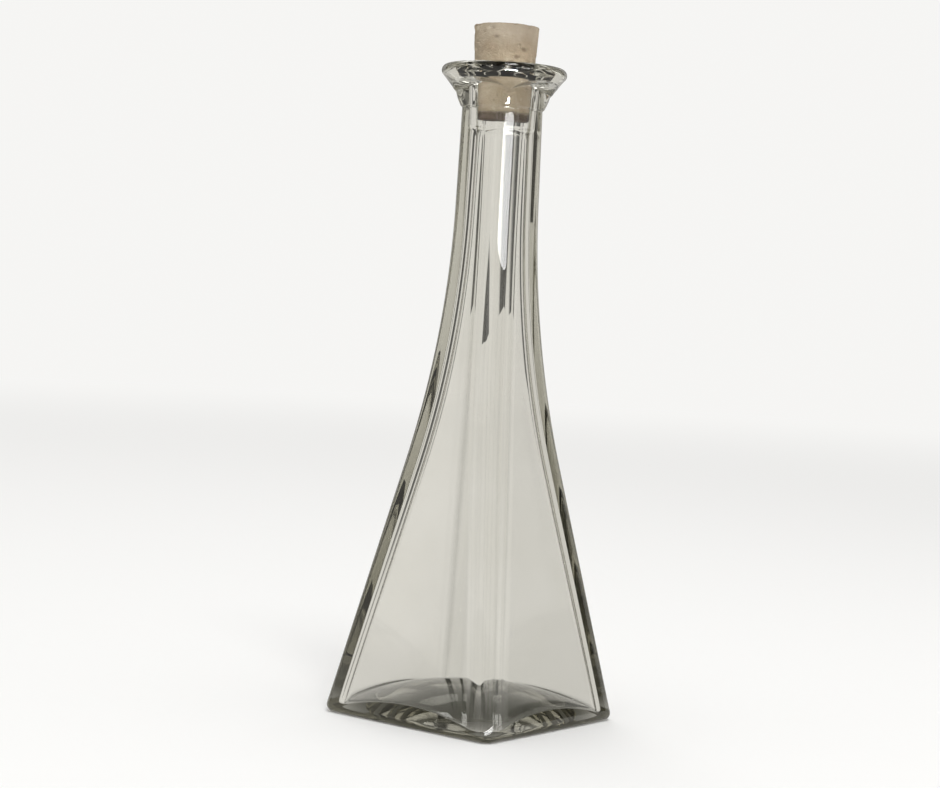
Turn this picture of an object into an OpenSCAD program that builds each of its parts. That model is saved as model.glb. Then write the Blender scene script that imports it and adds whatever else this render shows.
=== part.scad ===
// A small square glass bottle with a long slender neck and a tapered cork stopper.
// Millimetres, +Z up. The origin is the centre of the base, on the plane the bottle stands on.

/* [Bottle body] */
// Height of the glass from the standing plane to the top of the lip
glass_h = 150; // [140:1:165]
// Width across the flat faces at the foot of the body
base_w = 49.4; // [44:0.1:54]
// Width across the flats where the straight body sides would meet the straight neck sides
waist_w = 16.3; // [15.8:0.1:18]
// Height at which those two straight sides would meet
waist_z = 88.2; // [78:0.1:96]
// Radius of the long hollow curve that blends the body sides into the neck sides
flare_r = 340; // [200:5:380]
// Height of the glass that belongs to the finish, from the mould ledge to the top of the lip
finish_h = 9.6; // [9:0.1:11]
// Width across the flats at the top of the neck, just below the mould ledge
neck_w = 15.4; // [15.2:0.1:15.8]

/* [Corners] */
// How far each corner is cut back along a side at the foot of the body
base_cut = 2.5; // [1.5:0.1:4]
// How far each corner is cut back along a side at the top of the neck
neck_cut = 3.1; // [2.2:0.1:3.6]
// Roundness of the cut corners, from 0.2 for a nearly flat cut to 1 for a full round
corner_fullness = 0.65; // [0.2:0.05:1]
// Radius of the heel, where the sides turn under to the standing face
heel_r = 1.7; // [1:0.1:2.4]

/* [Glass] */
// Thickness of the body walls across the flats
body_wall = 2.1; // [1.5:0.1:2.8]
// Thickness of the neck walls across the flats, below the bore
neck_wall = 1.75; // [1.7:0.05:2]
// Inner corner radius at the foot of the body
inner_corner_r = 5; // [3:0.1:8]
// Height of the inner floor where it meets the inner corners
floor_corner_z = 1.6; // [1.4:0.1:3]
// How far the inner floor domes up from its corners to its centre
floor_rise = 6; // [5:0.1:8]
// Radius of the round hollow pressed up into the underside
punt_r = 20; // [14:0.5:21]
// Depth of that hollow at its centre
punt_depth = 5; // [2:0.1:5.5]

/* [Lip] */
// Outer diameter of the round lip
lip_d = 28.8; // [26:0.1:31]
// Radius of the rolled rim of the lip
rim_r = 1.45; // [1:0.05:1.8]
// Diameter across the corners of the finish at the mould ledge
collar_d = 19.2; // [19.2:0.1:20.4]
// Diameter of the finish where the flare under the lip starts
collar_top_d = 23; // [21:0.1:23.6]
// Height from the mould ledge to the start of that flare
collar_h = 4.2; // [3:0.1:4.6]
// Height from the mould ledge to the shelf where the flat faces end
shelf_h = 5.6; // [4.2:0.1:5.8]
// How much lower that shelf lies at the corners than at the middle of each flat
shelf_arch = 2.2; // [1.8:0.1:3]
// How much the flats of the finish stand out from the flats of the neck
ledge = 0.25; // [0.15:0.05:0.4]
// Depth from the top of the lip to the foot of the funnel that leads into the bore
funnel_depth = 2; // [1.6:0.1:5]

/* [Cork] */
// Diameter of the top of the cork
cork_top_d = 15.1; // [14.2:0.1:15.4]
// Diameter of the bottom of the cork
cork_foot_d = 12.5; // [11.8:0.1:12.6]
// Length of the cork
cork_h = 22; // [18:0.1:26]
// Length of cork that stands above the top of the lip
cork_proud = 9.3; // [6:0.1:12]
// Width of the worn bevel round both ends of the cork
cork_bevel = 0.4; // [0.2:0.05:0.8]
// Radial gap between the cork and the bore
cork_clearance = 0.05; // [0.02:0.01:0.1]
// Depth that the bore goes on below the cork
bore_below_cork = 1.5; // [1:0.1:3]

/* [Hidden] */

glass_colour = [0.78, 0.82, 0.77, 0.4];
cork_colour = [0.72, 0.64, 0.52];

// Facets of each rounded corner, outside and inside
corner_steps = 5;
inner_corner_steps = 8;
// Rings along the heel and along the hollow curve, and facets of the rolled rim
heel_steps = 5;
curve_steps = 12;
rim_steps = 12;
smooth = 96;

// Heights that follow from the sizes
ledge_z = glass_h - finish_h;
shelf_z = ledge_z + shelf_h;
throat_z = glass_h - funnel_depth;
cork_foot_z = glass_h + cork_proud - cork_h;
bore_foot_z = cork_foot_z - bore_below_cork;

// Depth that one solid reaches into or past another, so that they join or cut cleanly
overlap = 0.5;

// Angles of the straight sides from the vertical, and the tangent length of the curve between them
body_angle = atan((base_w - waist_w) / 2 / waist_z);
neck_angle = atan((waist_w - neck_w) / 2 / (ledge_z - waist_z));
flare_tangent = flare_r * tan((body_angle - neck_angle) / 2);
curve_low_z = waist_z - flare_tangent * cos(body_angle);
curve_high_z = waist_z + flare_tangent * cos(neck_angle);

// Half the width across the flats at height z
function body_half(z) = waist_w / 2 + (waist_z - z) * tan(body_angle);
function neck_half(z) = waist_w / 2 - (z - waist_z) * tan(neck_angle);
function curve_half(z) =
    let (centre_z = curve_high_z + flare_r * sin(neck_angle))
    neck_half(curve_high_z) + flare_r * cos(neck_angle)
        - sqrt(pow(flare_r, 2) - pow(centre_z - z, 2));
function outer_half(z) =
    z <= curve_low_z ? body_half(z) : z >= curve_high_z ? neck_half(z) : curve_half(z);

// How far up the glass a height lies, from 0 at the foot to 1 at the mould ledge
function rise(z) = min(1, max(0, z / ledge_z));
function mix(low, high, share) = low + (high - low) * share;
function outer_cut(z) = mix(base_cut, neck_cut, rise(z));
function inner_half(z) = outer_half(z) - mix(body_wall, neck_wall, rise(z));
function inner_cut(z) = mix(inner_corner_r, inner_half(z), pow(rise(z), 2));

// Points of one square ring with rounded corners. A fullness of 1 makes each corner a tangent arc,
// and a cut equal to the half width then makes the ring a circle.
function square_ring(half, cut, fullness, z, steps) =
    let (
        chord = cut * sqrt(2),
        bulge = fullness * cut * (1 - cos(45)),
        arc_r = chord * chord / (8 * bulge) + bulge / 2,
        arc_centre = half * sqrt(2) - chord / 2 + bulge - arc_r,
        spread = asin(chord / 2 / arc_r)
    )
    [for (corner = [0 : 3], i = [0 : steps])
        let (
            middle = 45 + 90 * corner,
            a = middle + spread * (2 * i / steps - 1)
        )
        [arc_centre * cos(middle) + arc_r * cos(a), arc_centre * sin(middle) + arc_r * sin(a), z]];

// A closed solid through a stack of rings that all have the same number of points
module loft(rings) {
    count = len(rings[0]);
    last = len(rings) - 1;
    points = [for (ring = rings) each ring];
    sides = [for (j = [0 : last - 1], i = [0 : count - 1])
        let (
            low = j * count + i,
            low_next = j * count + (i + 1) % count
        )
        each [[low, low + count, low_next], [low_next, low + count, low_next + count]]];
    foot = [for (i = [0 : count - 1]) i];
    top = [for (i = [count - 1 : -1 : 0]) last * count + i];
    polyhedron(points = points, faces = concat([foot], sides, [top]));
}

// Heights of the rings from the foot of the straight body to the given top
function wall_heights(foot_z, top_z) =
    concat(
        [foot_z, curve_low_z],
        [for (i = [1 : curve_steps - 1])
            curve_low_z + (curve_high_z - curve_low_z) * i / curve_steps],
        [curve_high_z, top_z]
    );

// Rings of the rounded heel, from the standing face up to the straight side
heel_rings = [for (i = [0 : heel_steps - 1])
    let (
        a = 90 * i / heel_steps,
        inset = heel_r * (1 - sin(a)),
        z = heel_r * (1 - cos(a))
    )
    square_ring(outer_half(heel_r) - inset, outer_cut(z), corner_fullness, z, corner_steps)];

module outer_body() {
    loft(concat(
        heel_rings,
        [for (z = wall_heights(heel_r, ledge_z + overlap))
            square_ring(outer_half(z), outer_cut(z), corner_fullness, z, corner_steps)]
    ));
}

// Radius of the cork at height z, and of the bore round it
function cork_radius(z) =
    (cork_foot_d + (cork_top_d - cork_foot_d) * (z - cork_foot_z) / cork_h) / 2;
function bore_radius(z) = cork_radius(z) + cork_clearance;

// The round lip on its collar, with the funnel in its top, before the flats are cut into it
module round_finish() {
    rim_centre = lip_d / 2 - rim_r;
    rim_z = glass_h - rim_r;
    rim_arc = [for (i = [0 : rim_steps])
        let (a = 180 * i / rim_steps - 45)
        [rim_centre + rim_r * cos(a), rim_z + rim_r * sin(a)]];
    rotate_extrude($fn = smooth)
        polygon(concat(
            [
                [0, ledge_z],
                [collar_d / 2, ledge_z],
                [collar_top_d / 2, ledge_z + collar_h]
            ],
            rim_arc,
            [
                [bore_radius(throat_z), throat_z],
                [0, throat_z]
            ]
        ));
}

// The four level cylinders that cut the flats into the collar, up to the arched shelf
module flats_cut() {
    flat = neck_half(ledge_z) + ledge;
    arch_r = (pow(flat, 2) + pow(shelf_arch, 2)) / (2 * shelf_arch);
    for (a = [0 : 90 : 270])
        rotate([0, 0, a])
            translate([flat, 0, shelf_z - arch_r])
                rotate([0, 90, 0])
                    cylinder(r = arch_r, h = lip_d, $fn = smooth);
}

module finish() {
    difference() {
        round_finish();
        flats_cut();
    }
}

// The tapered bore that holds the cork, run on past the foot of the funnel
module bore_cut() {
    top_z = throat_z + overlap;
    translate([0, 0, bore_foot_z])
        cylinder(
            h = top_z - bore_foot_z,
            r1 = bore_radius(bore_foot_z),
            r2 = bore_radius(top_z),
            $fn = smooth
        );
}

// A ball whose top is at top_z, with its poles laid level so that they are clear of that top
module dome(ball_r, top_z) {
    translate([0, 0, top_z - ball_r])
        rotate([90, 0, 0])
            sphere(r = ball_r, $fn = smooth);
}

// The hollow of the body and neck, above the domed floor
module inner_hollow() {
    corner_half = inner_half(floor_corner_z);
    corner_reach = corner_half * sqrt(2) - inner_corner_r * (sqrt(2) - 1);
    floor_r = (pow(corner_reach, 2) + pow(floor_rise, 2)) / (2 * floor_rise);
    difference() {
        loft([for (z = wall_heights(floor_corner_z - overlap, bore_foot_z + overlap))
            square_ring(inner_half(z), inner_cut(z), 1, z, inner_corner_steps)]);
        dome(floor_r, floor_corner_z + floor_rise);
    }
}

// The round hollow pressed up into the underside
module punt() {
    ball_r = (pow(punt_r, 2) + pow(punt_depth, 2)) / (2 * punt_depth);
    dome(ball_r, punt_depth);
}

module glass_bottle() {
    color(glass_colour)
        difference() {
            union() {
                outer_body();
                finish();
            }
            inner_hollow();
            bore_cut();
            punt();
        }
}

module cork_stopper() {
    top_z = cork_foot_z + cork_h;
    color(cork_colour)
        rotate_extrude($fn = smooth)
            polygon([
                [0, cork_foot_z],
                [cork_radius(cork_foot_z) - cork_bevel, cork_foot_z],
                [cork_radius(cork_foot_z + cork_bevel), cork_foot_z + cork_bevel],
                [cork_radius(top_z - cork_bevel), top_z - cork_bevel],
                [cork_radius(top_z) - cork_bevel, top_z],
                [0, top_z]
            ]);
}

glass_bottle();
cork_stopper();
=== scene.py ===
import math

import bpy
import numpy as np
from mathutils import Matrix, Vector, noise


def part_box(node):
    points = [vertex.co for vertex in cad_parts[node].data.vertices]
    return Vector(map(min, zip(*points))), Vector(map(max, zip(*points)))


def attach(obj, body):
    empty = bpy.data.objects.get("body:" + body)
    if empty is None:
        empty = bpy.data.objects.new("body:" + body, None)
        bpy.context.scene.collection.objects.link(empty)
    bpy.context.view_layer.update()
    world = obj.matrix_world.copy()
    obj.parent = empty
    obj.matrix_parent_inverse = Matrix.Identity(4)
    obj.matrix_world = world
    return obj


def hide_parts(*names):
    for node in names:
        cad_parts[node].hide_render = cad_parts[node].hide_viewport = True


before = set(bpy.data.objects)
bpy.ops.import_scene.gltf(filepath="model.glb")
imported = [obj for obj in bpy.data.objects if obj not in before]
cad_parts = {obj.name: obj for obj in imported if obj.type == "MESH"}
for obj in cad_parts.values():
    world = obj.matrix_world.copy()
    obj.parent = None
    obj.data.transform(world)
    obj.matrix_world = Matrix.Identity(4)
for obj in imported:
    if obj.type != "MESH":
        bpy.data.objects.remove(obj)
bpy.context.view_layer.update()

GLASS_LOW, GLASS_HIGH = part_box("glass_bottle")
CORK_LOW, CORK_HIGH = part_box("cork_stopper")

# Lengths below are in millimetres, as in the construction, and MM turns them into metres.
MM = 0.001

# Glass outside
GLASS_H = GLASS_HIGH.z / MM
BASE_W = 49.4
WAIST_W = 16.3
WAIST_Z = 88.2
FLARE_R = 340.0
NECK_W = 15.4
LEDGE_Z = GLASS_H - 9.6
BASE_CUT = 2.5
NECK_CUT = 3.1
CORNER_FULLNESS = 0.65
HEEL_R = 1.7
# Glass inside
BODY_WALL = 2.1
NECK_WALL = 1.75
INNER_CORNER_R = 5.0
FLOOR_CORNER_Z = 1.6
FLOOR_RISE = 6.0
PUNT_R = 20.0
PUNT_DEPTH = 5.0
# Lip
LIP_R = 14.4
RIM_R = 1.45
COLLAR_R = 9.6
COLLAR_TOP_R = 11.5
COLLAR_H = 4.2
SHELF_H = 5.6
SHELF_ARCH = 2.2
LEDGE = 0.25
FUNNEL_DEPTH = 2.0
# Cork
CORK_TOP_R = 7.55
CORK_FOOT_R = 6.25
CORK_FOOT_Z = CORK_LOW.z / MM
CORK_TOP_Z = CORK_HIGH.z / MM
CORK_BEVEL = 0.4
CORK_CLEARANCE = 0.05
BORE_BELOW_CORK = 1.5

# Colours
GLASS_CLEAR = (0.985, 0.985, 0.975)
GLASS_CLOUDED = (0.965, 0.965, 0.95)
# Painted shade: the dark colour the glass turns to at grazing angles
GLASS_EDGE_PAINTED_SHADE = (0.06, 0.065, 0.055)
GLASS_BODY = (0.857, 0.853, 0.826, 1)
GLASS_DENSITY = 220.0
GLASS_RIPPLE = 0.00001
CORK_DARK = (0.31, 0.245, 0.17)
CORK_LIGHT = (0.43, 0.36, 0.265)
CORK_GRAIN = (0.37, 0.30, 0.21)
CORK_FLECK = (0.56, 0.49, 0.38)
CORK_PIT = (0.10, 0.065, 0.04)
# Painted shade: the dark band round the foot of the cork
CORK_FOOT_PAINTED_SHADE = (0.045, 0.027, 0.017)

# Facets of one corner arc and of one flat, in each ring of the glass
CORNER_FACETS = 14
FLAT_FACETS = 22
QUARTER = math.pi / 2


# Shape of the glass


BODY_ANGLE = math.atan((BASE_W - WAIST_W) / 2 / WAIST_Z)
NECK_ANGLE = math.atan((WAIST_W - NECK_W) / 2 / (LEDGE_Z - WAIST_Z))
FLARE_TANGENT = FLARE_R * math.tan((BODY_ANGLE - NECK_ANGLE) / 2)
CURVE_LOW_Z = WAIST_Z - FLARE_TANGENT * math.cos(BODY_ANGLE)
CURVE_HIGH_Z = WAIST_Z + FLARE_TANGENT * math.cos(NECK_ANGLE)
THROAT_Z = GLASS_H - FUNNEL_DEPTH
BORE_FOOT_Z = CORK_FOOT_Z - BORE_BELOW_CORK


def neck_half(z):
    return WAIST_W / 2 - (z - WAIST_Z) * math.tan(NECK_ANGLE)


def outer_half(z):
    """Half the width of the glass across its flats at height z."""
    if z <= CURVE_LOW_Z:
        return WAIST_W / 2 + (WAIST_Z - z) * math.tan(BODY_ANGLE)
    if z >= CURVE_HIGH_Z:
        return neck_half(z)
    centre_z = CURVE_HIGH_Z + FLARE_R * math.sin(NECK_ANGLE)
    centre_x = neck_half(CURVE_HIGH_Z) + FLARE_R * math.cos(NECK_ANGLE)
    return centre_x - math.sqrt(FLARE_R**2 - (centre_z - z) ** 2)


def mix(low, high, share):
    return low + (high - low) * share


def rise(z):
    return min(1.0, max(0.0, z / LEDGE_Z))


def outer_cut(z):
    return mix(BASE_CUT, NECK_CUT, rise(z))


def inner_half(z):
    return outer_half(z) - mix(BODY_WALL, NECK_WALL, rise(z))


def inner_cut(z):
    return mix(INNER_CORNER_R, inner_half(z), rise(z) ** 2)


def cork_radius(z):
    share = (z - CORK_FOOT_Z) / (CORK_TOP_Z - CORK_FOOT_Z)
    return mix(CORK_FOOT_R, CORK_TOP_R, share)


def bore_radius(z):
    return cork_radius(z) + CORK_CLEARANCE


def directions(half, cut):
    """Directions of a ring's points: close together round each corner, even along each flat."""
    spread = math.pi / 4 - math.atan2(half - cut, half)
    reach = math.tan(math.pi / 4 - spread)
    corner = math.pi / 4 + spread * (2 * np.arange(CORNER_FACETS) / CORNER_FACETS - 1)
    flat = QUARTER + np.arctan(reach * (2 * np.arange(FLAT_FACETS) / FLAT_FACETS - 1))
    quarter = np.concatenate([corner, flat])
    return np.concatenate([quarter + QUARTER * k for k in range(4)])


def square_radius(half, cut, fullness, angles):
    """Distance from the axis to a square with rounded corners, along each direction."""
    chord = cut * math.sqrt(2)
    bulge = fullness * cut * (1 - math.cos(math.pi / 4))
    arc_r = chord * chord / (8 * bulge) + bulge / 2
    centre = half * math.sqrt(2) - chord / 2 + bulge - arc_r
    off_flat = (angles + math.pi / 4) % QUARTER - math.pi / 4
    off_corner = angles % QUARTER - math.pi / 4
    flat = half / np.cos(off_flat)
    under = np.maximum(arc_r**2 - (centre * np.sin(off_corner)) ** 2, 0)
    arc = centre * np.cos(off_corner) + np.sqrt(under)
    in_corner = np.abs(off_corner) < math.pi / 4 - math.atan2(half - cut, half)
    return np.where(in_corner, arc, flat)


def soft_min(a, b, width):
    """The lesser of a and b, rounded over where they meet."""
    h = np.clip(0.5 + 0.5 * (b - a) / width, 0, 1)
    return b * (1 - h) + a * h - width * h * (1 - h)


class Skin:
    """Rings of points round the axis, one after another along the surface of the glass."""

    def __init__(self):
        self.rings = []

    def add(self, angles, radius, z):
        ring = np.empty((len(angles), 3))
        ring[:, 0] = radius * np.cos(angles)
        ring[:, 1] = radius * np.sin(angles)
        ring[:, 2] = z
        self.rings.append(ring)

    def circle(self, radius, z):
        self.add(ROUND_ANGLES, radius, z)

    def square(self, half, cut, fullness, z):
        angles = directions(half, cut)
        self.add(angles, square_radius(half, cut, fullness, angles), z)


ROUND_ANGLES = directions(neck_half(LEDGE_Z), NECK_CUT)


def add_punt(skin):
    """The round hollow pressed up into the underside, from its centre to its soft edge."""
    ball_r = (PUNT_R**2 + PUNT_DEPTH**2) / (2 * PUNT_DEPTH)
    edge_angle = math.asin(PUNT_R / ball_r)
    edge_r = 1.5
    edge_x = PUNT_R + edge_r * math.tan(edge_angle / 2)
    last = edge_x - edge_r * math.sin(edge_angle)
    for share in np.linspace(0.02, 0.98, 16):
        r = last * share
        skin.circle(r, PUNT_DEPTH - ball_r + math.sqrt(ball_r**2 - r**2))
    for a in np.linspace(edge_angle, 0, 7):
        skin.circle(edge_x - edge_r * math.sin(a), edge_r * (1 - math.cos(a)))


def add_heel(skin):
    """The flat standing face, then the heel that turns up into the leaning sides."""
    foot_half = outer_half(0)
    centre_x = foot_half - HEEL_R * (math.tan(BODY_ANGLE) + 1 / math.cos(BODY_ANGLE))
    thinner_cut = 0.8
    inner_ring = skin.rings[-1]
    angles = np.linspace(-QUARTER, BODY_ANGLE, 12)
    for k, a in enumerate(angles):
        inset = HEEL_R * (1 - math.cos(a))
        half = centre_x + HEEL_R * math.cos(a)
        skin.square(half, BASE_CUT - thinner_cut * inset, CORNER_FULLNESS, HEEL_R * (1 + math.sin(a)))
        if k == 0:
            outer_ring = skin.rings.pop()
            for share in (0.25, 0.5, 0.75, 1.0):
                skin.rings.append(mix(inner_ring, outer_ring, share))


def add_walls(skin):
    """The leaning body, the hollow curve and the neck, up to the mould ledge."""
    foot = HEEL_R * (1 + math.sin(BODY_ANGLE))
    heights = np.concatenate([
        np.linspace(foot, CURVE_LOW_Z, 24)[1:],
        np.linspace(CURVE_LOW_Z, CURVE_HIGH_Z, 30)[1:],
        np.linspace(CURVE_HIGH_Z, LEDGE_Z - 0.5, 16)[1:],
    ])
    for z in heights:
        skin.square(outer_half(z), outer_cut(z), CORNER_FULLNESS, z)


RIM_LEAN = math.pi / 4
FLARE_TOP_R = LIP_R - RIM_R + RIM_R * math.cos(RIM_LEAN)
FLARE_TOP_Z = GLASS_H - RIM_R - RIM_R * math.sin(RIM_LEAN)
SHELF_SOFT = 0.55


def collar_radius(z):
    """Radius of the finish before its flats are cut, from the mould ledge to the rolled rim."""
    top_z = LEDGE_Z + COLLAR_H
    return np.interp(z, (LEDGE_Z, top_z, FLARE_TOP_Z), (COLLAR_R, COLLAR_TOP_R, FLARE_TOP_R))


def shelf_height(angles):
    """Height of the shelf over the flats, which arches from corner to corner on each side."""
    flat = neck_half(LEDGE_Z) + LEDGE
    arch_r = (flat**2 + SHELF_ARCH**2) / (2 * SHELF_ARCH)
    off_flat = (angles + math.pi / 4) % QUARTER - math.pi / 4
    across = flat * np.tan(off_flat)
    return LEDGE_Z + SHELF_H - arch_r + np.sqrt(arch_r**2 - across**2)


def add_collar(skin):
    """The small step of the mould ledge, the collar with its four flats, and the shelf over them."""
    angles = ROUND_ANGLES
    half = neck_half(LEDGE_Z)
    neck = square_radius(half, NECK_CUT, CORNER_FULLNESS, angles)
    off_flat = (angles + math.pi / 4) % QUARTER - math.pi / 4
    flat = (half + LEDGE) / np.cos(off_flat)

    def cut_collar(z):
        return soft_min(np.broadcast_to(collar_radius(z), angles.shape), flat, 0.5)

    for dz, share in ((-0.3, 0.0), (-0.12, 0.12), (0.0, 0.5), (0.12, 0.88), (0.3, 1.0)):
        skin.add(angles, mix(neck, cut_collar(LEDGE_Z + max(dz, 0)), share), LEDGE_Z + dz)
    shelf_z = shelf_height(angles)
    for share in np.linspace(0, 1, 12)[1:]:
        z = mix(LEDGE_Z + 0.3, shelf_z - SHELF_SOFT, share)
        skin.add(angles, cut_collar(z), z)
    steps = ((-0.4, 0.03), (-0.25, 0.12), (-0.1, 0.3), (0.0, 0.5), (0.1, 0.7), (0.25, 0.88), (0.4, 0.97))
    for dz, share in steps:
        z = shelf_z + dz
        skin.add(angles, mix(cut_collar(z), collar_radius(z), share), z)
    for share in np.linspace(0, 1, 8)[:-1]:
        z = mix(shelf_z + SHELF_SOFT, FLARE_TOP_Z, share)
        skin.add(angles, collar_radius(z), z)


def add_lip(skin):
    """The rolled rim and the funnel in its top, down to the bore."""
    rim_x = LIP_R - RIM_R
    rim_z = GLASS_H - RIM_R
    inner_lean = math.atan2(
        rim_z + RIM_R * math.cos(RIM_LEAN) - THROAT_Z,
        rim_x - RIM_R * math.sin(RIM_LEAN) - bore_radius(THROAT_Z),
    )
    for a in np.linspace(-RIM_LEAN, QUARTER + inner_lean, 22):
        skin.circle(rim_x + RIM_R * math.cos(a), rim_z + RIM_R * math.sin(a))
    start_x = rim_x - RIM_R * math.sin(inner_lean)
    start_z = rim_z + RIM_R * math.cos(inner_lean)
    throat_r = 2.0
    turn = QUARTER - inner_lean
    reach = throat_r * math.tan(turn / 2)
    end_x = bore_radius(THROAT_Z) + reach * math.cos(inner_lean)
    end_z = THROAT_Z + reach * math.sin(inner_lean)
    for share in np.linspace(0, 1, 8)[1:-1]:
        skin.circle(mix(start_x, end_x, share), mix(start_z, end_z, share))
    centre_x = bore_radius(THROAT_Z) + throat_r
    centre_z = THROAT_Z - reach
    for a in np.linspace(0, turn, 8):
        t = QUARTER + inner_lean + a
        skin.circle(centre_x + throat_r * math.cos(t), centre_z + throat_r * math.sin(t))


def add_bore(skin):
    """The tapered bore and the small shoulder under it."""
    top_z = skin.rings[-1][0, 2]
    for z in np.linspace(top_z, BORE_FOOT_Z, 10)[1:-1]:
        skin.circle(bore_radius(z), z)
    foot_half = inner_half(BORE_FOOT_Z - 1)
    for dz, share in ((0.35, 0.0), (0.12, 0.08), (0.0, 0.3), (-0.15, 0.6), (-0.35, 0.85), (-0.6, 0.97)):
        skin.circle(mix(bore_radius(BORE_FOOT_Z), foot_half, share), BORE_FOOT_Z + dz)


def floor_ball():
    """Radius of the ball that the inner floor is part of, and the height of its centre."""
    corner_half = inner_half(FLOOR_CORNER_Z)
    reach = corner_half * math.sqrt(2) - INNER_CORNER_R * (math.sqrt(2) - 1)
    ball_r = (reach**2 + FLOOR_RISE**2) / (2 * FLOOR_RISE)
    return ball_r, FLOOR_CORNER_Z + FLOOR_RISE - ball_r


def add_inside(skin):
    """The inner walls from the bore down to the floor, and the domed floor in to its centre."""
    ball_r, ball_z = floor_ball()
    low_z = 24.0
    heights = np.concatenate([
        np.linspace(BORE_FOOT_Z - 1, CURVE_HIGH_Z, 12),
        np.linspace(CURVE_HIGH_Z, CURVE_LOW_Z, 26)[1:],
        np.linspace(CURVE_LOW_Z, low_z, 16)[1:],
    ])
    for z in heights:
        skin.square(inner_half(z), inner_cut(z), 1.0, z)
    angles = directions(inner_half(FLOOR_CORNER_Z), inner_cut(FLOOR_CORNER_Z))
    top_angles = directions(inner_half(low_z), inner_cut(low_z))
    radius = np.full_like(angles, inner_half(FLOOR_CORNER_Z))
    for _ in range(12):
        foot_z = ball_z + np.sqrt(ball_r**2 - radius**2)
        radius = wall_radius(foot_z, angles)
    for share in 1 - np.linspace(1, 0, 22)[1:] ** 1.6:
        ring_angles = mix(top_angles, angles, share)
        z = mix(low_z, foot_z, share)
        skin.add(ring_angles, wall_radius(z, ring_angles), z)
    skin.foot_ring = len(skin.rings) - 1
    for share in (1 - np.linspace(0, 1, 30) ** 1.5)[1:-1]:
        r = radius * share
        skin.add(mix(ROUND_ANGLES, angles, share), r, ball_z + np.sqrt(ball_r**2 - r**2))


def wall_radius(heights, angles):
    """Distance from the axis to the inner wall, for each height and direction."""
    pairs = zip(np.broadcast_to(heights, angles.shape), angles)
    return np.array([
        square_radius(inner_half(z), inner_cut(z), 1.0, np.array([a]))[0] for z, a in pairs
    ])


def soften(rings, first, last, rounds, share=0.5):
    """Relaxes the rings from first to last towards their neighbours, so that edges turn round."""
    for _ in range(rounds):
        middle = (rings[first - 1 : last - 1] + rings[first + 1 : last + 1]) / 2
        rings[first:last] = mix(rings[first:last], middle, share)


def soften_round(rings, rounds, share=0.5):
    """Relaxes each ring along itself, which takes the hard edge off the cut corners."""
    for _ in range(rounds):
        middle = (np.roll(rings, 1, axis=1) + np.roll(rings, -1, axis=1)) / 2
        move = (middle - rings) * share
        move[:, :, 2] = 0
        rings += move


def glass_points():
    """All rings of the glass skin, from the centre of the underside to the centre of the floor."""
    skin = Skin()
    add_punt(skin)
    add_heel(skin)
    outer_from = len(skin.rings)
    add_walls(skin)
    add_collar(skin)
    outer_to = len(skin.rings)
    add_lip(skin)
    add_bore(skin)
    inner_from = len(skin.rings)
    add_inside(skin)
    rings = np.array(skin.rings)
    soften_round(rings[outer_from:outer_to], 3)
    foot = skin.foot_ring
    soften(rings, foot - 9, foot + 10, 8)
    return rings, outer_from, outer_to, inner_from


def mesh_from_rings(name, rings):
    """A closed mesh through the rings, with a fan to a middle point at each end."""
    stations, count = rings.shape[:2]
    points = rings.reshape(-1, 3).tolist()
    points.append([0, 0, rings[0, :, 2].mean()])
    points.append([0, 0, rings[-1, :, 2].mean()])
    first, last = len(points) - 2, len(points) - 1
    faces = []
    for j in range(stations - 1):
        for i in range(count):
            n = (i + 1) % count
            a, b = j * count, (j + 1) * count
            faces.append((a + i, a + n, b + n, b + i))
    top = (stations - 1) * count
    for i in range(count):
        n = (i + 1) % count
        faces.append((n, i, first))
        faces.append((top + i, top + n, last))
    mesh = bpy.data.meshes.new(name)
    mesh.from_pydata([[c * MM for c in p] for p in points], [], faces)
    mesh.polygons.foreach_set("use_smooth", [True] * len(mesh.polygons))
    mesh.update()
    return mesh


def add_object(name, mesh, material):
    piece = bpy.data.objects.new(name, mesh)
    bpy.context.scene.collection.objects.link(piece)
    piece.data.materials.append(material)
    return piece


# Materials


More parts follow.
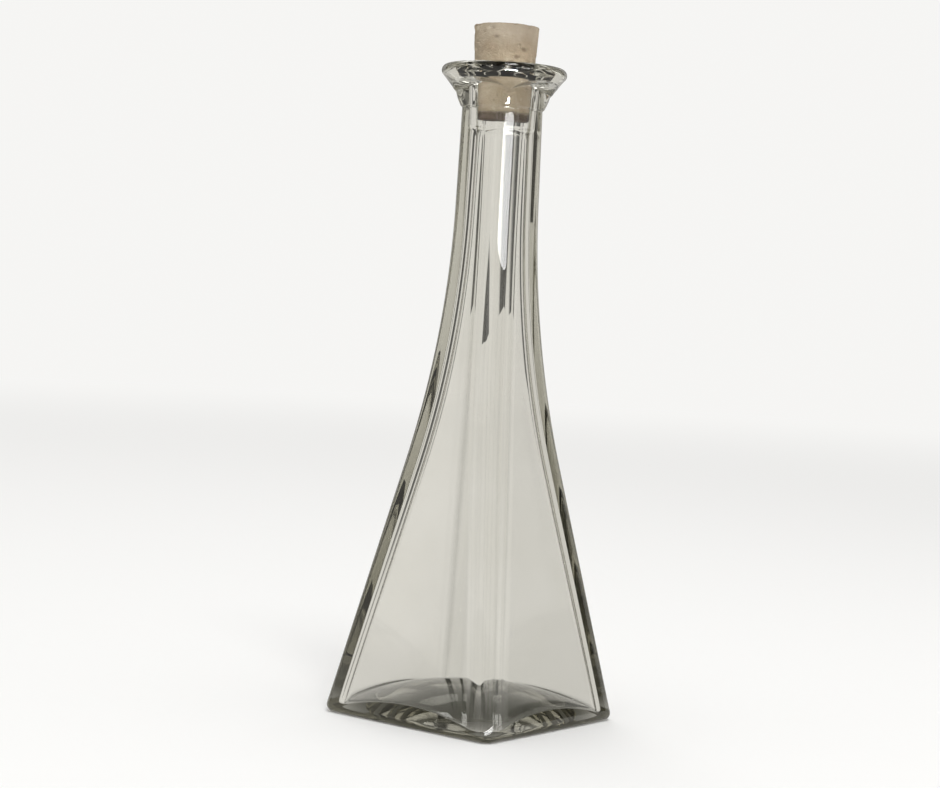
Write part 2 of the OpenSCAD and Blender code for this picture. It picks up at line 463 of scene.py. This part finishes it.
class Graph:
    """Short ways to add and join the nodes of one material or world."""

    def __init__(self, owner):
        owner.use_nodes = True
        self.nodes = owner.node_tree.nodes
        self.links = owner.node_tree.links

    def add(self, kind, **settings):
        node = self.nodes.new(kind)
        for name, value in settings.items():
            setattr(node, name, value)
        return node

    def feed(self, socket, value):
        if isinstance(value, bpy.types.NodeSocket):
            self.links.new(value, socket)
        else:
            socket.default_value = value

    def math(self, operation, *values):
        node = self.add("ShaderNodeMath", operation=operation)
        for socket, value in zip(node.inputs, values):
            self.feed(socket, value)
        return node.outputs[0]

    def noise(self, place, scale, detail=3.0, roughness=0.5):
        node = self.add("ShaderNodeTexNoise")
        self.feed(node.inputs["Vector"], place)
        node.inputs["Scale"].default_value = scale
        node.inputs["Detail"].default_value = detail
        node.inputs["Roughness"].default_value = roughness
        return node.outputs["Fac"]

    def cells(self, place, scale, feature="F1"):
        node = self.add("ShaderNodeTexVoronoi", feature=feature)
        self.feed(node.inputs["Vector"], place)
        node.inputs["Scale"].default_value = scale
        return node.outputs["Distance"]

    def stretch(self, place, scale):
        node = self.add("ShaderNodeMapping")
        self.feed(node.inputs["Vector"], place)
        node.inputs["Scale"].default_value = scale
        return node.outputs["Vector"]

    def span(self, value, low, high, to_low=0.0, to_high=1.0):
        """Maps low..high to to_low..to_high on a smooth step, held at both ends."""
        node = self.add("ShaderNodeMapRange", interpolation_type="SMOOTHSTEP")
        self.feed(node.inputs["Value"], value)
        for name, number in (("From Min", low), ("From Max", high), ("To Min", to_low), ("To Max", to_high)):
            node.inputs[name].default_value = number
        return node.outputs["Result"]

    def blend(self, share, first, second, mode="MIX"):
        node = self.add("ShaderNodeMix", data_type="RGBA", blend_type=mode)
        self.feed(node.inputs["Factor"], share)
        self.feed(node.inputs[6], colour(first))
        self.feed(node.inputs[7], colour(second))
        return node.outputs[2]

    def bump(self, height, distance, strength=1.0, normal=None):
        node = self.add("ShaderNodeBump")
        self.feed(node.inputs["Height"], height)
        node.inputs["Distance"].default_value = distance
        node.inputs["Strength"].default_value = strength
        if normal is not None:
            self.feed(node.inputs["Normal"], normal)
        return node.outputs["Normal"]


def colour(value):
    if isinstance(value, tuple) and len(value) == 3:
        return (*value, 1.0)
    return value


def glass_material():
    """Clear soda glass, faintly grey-green in its thickness, with a trace of handling on its skin and painted
    shade that darkens it towards its edges.
    """
    material = bpy.data.materials.new("clear_glass")
    graph = Graph(material)
    shader = graph.nodes["Principled BSDF"]
    place = graph.add("ShaderNodeTexCoord").outputs["Object"]
    clouds = graph.noise(place, 55.0, 2.0)
    tint = graph.blend(graph.span(clouds, 0.35, 0.65), GLASS_CLEAR, GLASS_CLOUDED)
    # Painted shade: the base colour turns dark towards grazing angles, standing in for the dark outlines of the
    # glass.
    facing = graph.add("ShaderNodeLayerWeight")
    facing.inputs["Blend"].default_value = 0.5
    edge = graph.span(facing.outputs["Facing"], 0.5, 0.95)
    graph.feed(shader.inputs["Base Color"], graph.blend(edge, tint, GLASS_EDGE_PAINTED_SHADE))
    smears = graph.noise(graph.stretch(place, (1, 1, 0.4)), 90.0, 4.0, 0.6)
    graph.feed(shader.inputs["Roughness"], graph.span(smears, 0.55, 0.8, 0.0, 0.035))
    graph.feed(shader.inputs["Normal"], graph.bump(graph.noise(place, 70.0, 1.0), GLASS_RIPPLE))
    shader.inputs["IOR"].default_value = 1.5
    shader.inputs["Transmission Weight"].default_value = 1.0
    inside = graph.add("ShaderNodeVolumeAbsorption")
    inside.inputs["Color"].default_value = GLASS_BODY
    inside.inputs["Density"].default_value = GLASS_DENSITY
    graph.feed(graph.nodes["Material Output"].inputs["Volume"], inside.outputs["Volume"])
    return material


def cork_material():
    """Dry natural cork: grey beige, mottled, with dark pits and paler flecks, and painted shade round its foot.
    """
    material = bpy.data.materials.new("natural_cork")
    graph = Graph(material)
    shader = graph.nodes["Principled BSDF"]
    place = graph.add("ShaderNodeTexCoord").outputs["Object"]
    broad = graph.span(graph.noise(place, 190.0, 3.0), 0.3, 0.7)
    base = graph.blend(broad, CORK_DARK, CORK_LIGHT)
    grain = graph.noise(graph.stretch(place, (1, 1, 1.8)), 900.0, 4.0, 0.65)
    base = graph.blend(graph.span(grain, 0.3, 0.75, 0.0, 0.6), base, CORK_GRAIN)
    flecks = graph.span(graph.noise(place, 420.0, 2.0), 0.62, 0.72, 0.0, 0.55)
    base = graph.blend(flecks, base, CORK_FLECK)
    pits = graph.nodes.new("ShaderNodeAttribute")
    pits.attribute_name = "pit"
    base = graph.blend(graph.math("MULTIPLY", pits.outputs["Fac"], 0.62), base, CORK_PIT)
    # Painted shade: a dark band with a wavy edge round the foot of the cork, darkest at the bottom.
    split = graph.add("ShaderNodeSeparateXYZ")
    graph.feed(split.inputs[0], place)
    wavy = graph.math("ADD", split.outputs[2], graph.math("MULTIPLY", grain, 0.0012))
    foot = CORK_LOW.z
    base = graph.blend(graph.span(wavy, foot + 0.0019, foot + 0.0031, 0.9, 0.0), base, CORK_FOOT_PAINTED_SHADE)
    graph.feed(shader.inputs["Base Color"], base)
    graph.feed(shader.inputs["Roughness"], graph.span(grain, 0.2, 0.8, 0.78, 0.95))
    shader.inputs["Specular IOR Level"].default_value = 0.25
    fine = graph.math("ADD", grain, graph.math("MULTIPLY", graph.noise(place, 2600.0, 2.0), 0.4))
    graph.feed(shader.inputs["Normal"], graph.bump(fine, 0.00035, 0.7))
    return material


# Pieces


def make_glass():
    rings, *_ = glass_points()
    piece = add_object("bottle_glass", mesh_from_rings("bottle_glass", rings), glass_material())
    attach(piece, "bottle")
    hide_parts("glass_bottle")


CORK_TURNS = 220
CORK_SEED = 11
PIT_COUNT = 150


def cork_profile():
    """Stations of the cork's outline from the middle of its foot to the middle of its top."""
    foot = [(cork_radius(CORK_FOOT_Z) * share, CORK_FOOT_Z) for share in np.linspace(0.04, 0.94, 14)]
    bevel_low = rounded_edge(CORK_FOOT_Z, -1)
    side = [(cork_radius(z), z) for z in np.linspace(CORK_FOOT_Z + 0.6, CORK_TOP_Z - 0.6, 96)]
    bevel_high = rounded_edge(CORK_TOP_Z, 1)
    top = [(cork_radius(CORK_TOP_Z) * share, CORK_TOP_Z) for share in np.linspace(0.94, 0.04, 22)]
    return np.array(foot + bevel_low + side + bevel_high + top)


def rounded_edge(end_z, up):
    """The worn round edge at one end of the cork."""
    centre_r = cork_radius(end_z) - CORK_BEVEL
    centre_z = end_z - up * CORK_BEVEL
    angles = np.linspace(-QUARTER, 0, 6) if up < 0 else np.linspace(0, QUARTER, 6)
    return [(centre_r + CORK_BEVEL * math.cos(a), centre_z + CORK_BEVEL * math.sin(a)) for a in angles]


def cork_points():
    """Rings of the cork with its pits and uneven surface, and how deep each point lies in a pit."""
    random = np.random.default_rng(CORK_SEED)
    profile = cork_profile()
    turn = np.linspace(0, 2 * math.pi, CORK_TURNS, endpoint=False)
    radius, height = profile[:, :1], profile[:, 1:]
    points = np.stack([
        radius * np.cos(turn), radius * np.sin(turn), np.broadcast_to(height, (len(profile), CORK_TURNS)),
    ], axis=-1)
    slope = np.gradient(profile, axis=0)
    outward = np.stack([slope[:, 1], -slope[:, 0]], axis=-1)
    outward /= np.linalg.norm(outward, axis=1, keepdims=True)
    normals = np.stack([
        outward[:, :1] * np.cos(turn), outward[:, :1] * np.sin(turn),
        np.broadcast_to(outward[:, 1:], (len(profile), CORK_TURNS)),
    ], axis=-1)
    depth = np.zeros(points.shape[:2])
    pit = np.zeros(points.shape[:2])
    for _ in range(PIT_COUNT):
        station = random.integers(8, len(profile) - 6)
        spot = points[station, random.integers(CORK_TURNS)]
        size = random.gamma(2.0, 0.11) + 0.12
        long_size = size * random.uniform(1.0, 2.6)
        away = points - spot
        lie = random.uniform(-0.35, 0.35)
        round_way = np.array([-spot[1], spot[0], 0.0]) / max(np.hypot(spot[0], spot[1]), 0.1)
        along_way = round_way * math.cos(lie) + np.array([0, 0, math.sin(lie)])
        along = away @ along_way
        across = np.sqrt(np.maximum((away**2).sum(axis=-1) - along**2, 0))
        share = np.exp(-(((across / size) ** 2 + (along / long_size) ** 2) ** 1.4) * 1.6)
        deep = min(0.32, size * 0.55)
        depth = np.maximum(depth, share * deep)
        pit = np.maximum(pit, share * random.uniform(0.15, 1.0))
    for j, k in np.ndindex(depth.shape):
        where = Vector(points[j, k])
        swell = 0.5 + 0.5 * noise.noise(where * 0.35)
        grit = 0.5 + 0.5 * noise.noise(where * 2.2)
        depth[j, k] += 0.10 * swell + 0.05 * grit
    return points - normals * depth[..., None], pit


def make_cork():
    points, pit = cork_points()
    mesh = mesh_from_rings("cork", points)
    shade = mesh.attributes.new("pit", "FLOAT", "POINT")
    shade.data.foreach_set("value", np.append(pit.ravel(), [0.0, 0.0]))
    piece = add_object("cork", mesh, cork_material())
    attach(piece, "stopper")
    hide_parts("cork_stopper")


# Scene


CAMERA_ANGLE = math.radians(-52.3)
CAMERA_DISTANCE = 0.5074
CAMERA_HEIGHT = 0.0965
AIM_HEIGHT = 0.0746
AIM_LEFT = 0.00385
CAMERA_ROLL = math.radians(3.14)
PICTURE_WIDTH = 940
FOCAL_PIXELS = 2200
SENSOR = 36.0


def add_camera():
    camera = bpy.data.objects.new("camera", bpy.data.cameras.new("camera"))
    bpy.context.scene.collection.objects.link(camera)
    bpy.context.scene.camera = camera
    camera.data.sensor_width = SENSOR
    camera.data.lens = SENSOR * FOCAL_PIXELS / PICTURE_WIDTH
    side = Vector((-math.sin(CAMERA_ANGLE), math.cos(CAMERA_ANGLE), 0))
    camera.location = Vector((
        CAMERA_DISTANCE * math.cos(CAMERA_ANGLE),
        CAMERA_DISTANCE * math.sin(CAMERA_ANGLE),
        CAMERA_HEIGHT,
    ))
    aim = Vector((0, 0, AIM_HEIGHT)) - side * AIM_LEFT
    look = (aim - camera.location).to_track_quat("-Z", "Y").to_matrix().to_4x4()
    turn = look @ Matrix.Rotation(CAMERA_ROLL, 4, "Z")
    camera.matrix_world = Matrix.Translation(camera.location) @ turn
    camera.data.clip_start = 0.01
    camera.data.clip_end = 20


PALE = (0.92, 0.915, 0.90)
SURROUND = (0.82, 0.80, 0.76)
DIFFUSE_LEVEL = 0.68
# Painted shadow: the dark glow of the floor round the foot of the bottle, seen only through glass and in gloss
PAINTED_SHADOW_UNDER_BOTTLE = (0.09, 0.09, 0.075)
FLAG_COUNT = 12
FLAG_TURN = math.radians(60)
FLAG_DEPTH = 0.9
GLASS_BOUNCES = 28


def add_world():
    """A pale surround. Glass and gloss see it with a dark ceiling and soft dark flags round it."""
    world = bpy.data.worlds.new("studio")
    bpy.context.scene.world = world
    graph = Graph(world)
    direction = graph.add("ShaderNodeTexCoord").outputs["Generated"]
    split = graph.add("ShaderNodeSeparateXYZ")
    graph.feed(split.inputs[0], direction)
    x, y, up = split.outputs
    azimuth = graph.math("ARCTAN2", y, x)
    turn = graph.math("ADD", graph.math("MULTIPLY", azimuth, float(FLAG_COUNT)), FLAG_TURN)
    flag = graph.span(graph.math("COSINE", turn), 0.5, 0.85)
    shade = graph.math("SUBTRACT", 1.0, graph.math("MULTIPLY", flag, FLAG_DEPTH))
    ceiling = graph.span(up, 0.35, 0.75, 1.0, 0.2)
    level = graph.math("MULTIPLY", shade, ceiling)
    seen = graph.blend(1.0, SURROUND, level, "MULTIPLY")
    rays = graph.add("ShaderNodeLightPath")
    through = graph.math("MAXIMUM", rays.outputs["Is Glossy Ray"], rays.outputs["Is Transmission Ray"])
    lit = graph.blend(rays.outputs["Is Camera Ray"], (DIFFUSE_LEVEL,) * 3, PALE)
    graph.feed(graph.nodes["Background"].inputs["Color"], graph.blend(through, lit, seen))


def add_floor():
    """A wide pale floor that fades into the surround and keeps the shadow of the bottle. Glass and gloss see it
    glow, with a painted shadow close round the foot of the bottle.
    """
    bpy.ops.mesh.primitive_circle_add(vertices=128, radius=6, fill_type="NGON")
    floor = bpy.context.object
    floor.name = "floor"
    material = bpy.data.materials.new("floor_paper")
    graph = Graph(material)
    graph.nodes.remove(graph.nodes["Principled BSDF"])
    place = graph.add("ShaderNodeTexCoord").outputs["Object"]
    length = graph.add("ShaderNodeVectorMath", operation="LENGTH")
    graph.feed(length.inputs[0], place)
    paper = graph.add("ShaderNodeBsdfDiffuse")
    paper.inputs["Color"].default_value = (*PALE, 1)
    rays = graph.add("ShaderNodeLightPath")
    through = graph.math("MAXIMUM", rays.outputs["Is Glossy Ray"], rays.outputs["Is Transmission Ray"])
    reach = length.outputs["Value"]
    # Painted shadow: seen through glass or in gloss, the floor glows dark close round the foot of the bottle,
    # paling into the surround further out.
    under = graph.blend(graph.span(reach, 0.016, 0.042), PAINTED_SHADOW_UNDER_BOTTLE, SURROUND)
    glow = graph.add("ShaderNodeEmission")
    graph.feed(glow.inputs["Color"], graph.blend(through, PALE, under))
    share = graph.math("MAXIMUM", graph.span(reach, 0.25, 1.6), graph.math("MULTIPLY", through, 0.85))
    mixer = graph.add("ShaderNodeMixShader")
    graph.feed(mixer.inputs[0], share)
    graph.feed(mixer.inputs[1], paper.outputs[0])
    graph.feed(mixer.inputs[2], glow.outputs[0])
    graph.feed(graph.nodes["Material Output"].inputs["Surface"], mixer.outputs[0])
    floor.data.materials.append(material)


LAMPS = (
    dict(name="key", azimuth=-32, elevation=60, distance=1.0, size=(0.24, 0.6), power=4.6),
    dict(name="window", azimuth=-25, elevation=4.6, distance=1.0, size=(1.3, 0.075), power=4.05, gloss_only=True),
    dict(name="low", azimuth=-38, elevation=-40, distance=0.19, size=(0.065, 0.055), power=0.36, spread=50, gloss_only=True),
    dict(name="back", azimuth=150, elevation=48, distance=1.1, size=(0.5, 0.3), power=1.6),
)
LAMP_AIM = Vector((0, 0, 0.142))


def add_lamp(name, azimuth, elevation, distance, size, power, spread=180, gloss_only=False):
    """A soft lamp that faces the neck from the given angles, in degrees, and distance."""
    light = bpy.data.lights.new(name, "AREA")
    light.shape = "RECTANGLE"
    light.size, light.size_y = size
    light.energy = power
    light.spread = math.radians(spread)
    lamp = bpy.data.objects.new(name, light)
    bpy.context.scene.collection.objects.link(lamp)
    turn, lift = math.radians(azimuth), math.radians(elevation)
    back = Vector((math.cos(turn) * math.cos(lift), math.sin(turn) * math.cos(lift), math.sin(lift)))
    lamp.location = LAMP_AIM + back * distance
    lamp.rotation_euler = back.to_track_quat("Z", "Y").to_euler()
    lamp.visible_camera = False
    if gloss_only:
        lamp.visible_diffuse = False
        lamp.visible_transmission = False


def set_bounces():
    """Enough bounces for light that turns several times inside the thick glass."""
    cycles = bpy.context.scene.cycles
    cycles.max_bounces = GLASS_BOUNCES
    cycles.transmission_bounces = GLASS_BOUNCES
    cycles.glossy_bounces = GLASS_BOUNCES


bpy.context.scene.view_settings.view_transform = "Standard"
set_bounces()
add_camera()
add_world()
add_floor()
for lamp in LAMPS:
    add_lamp(**lamp)
make_glass()
make_cork()
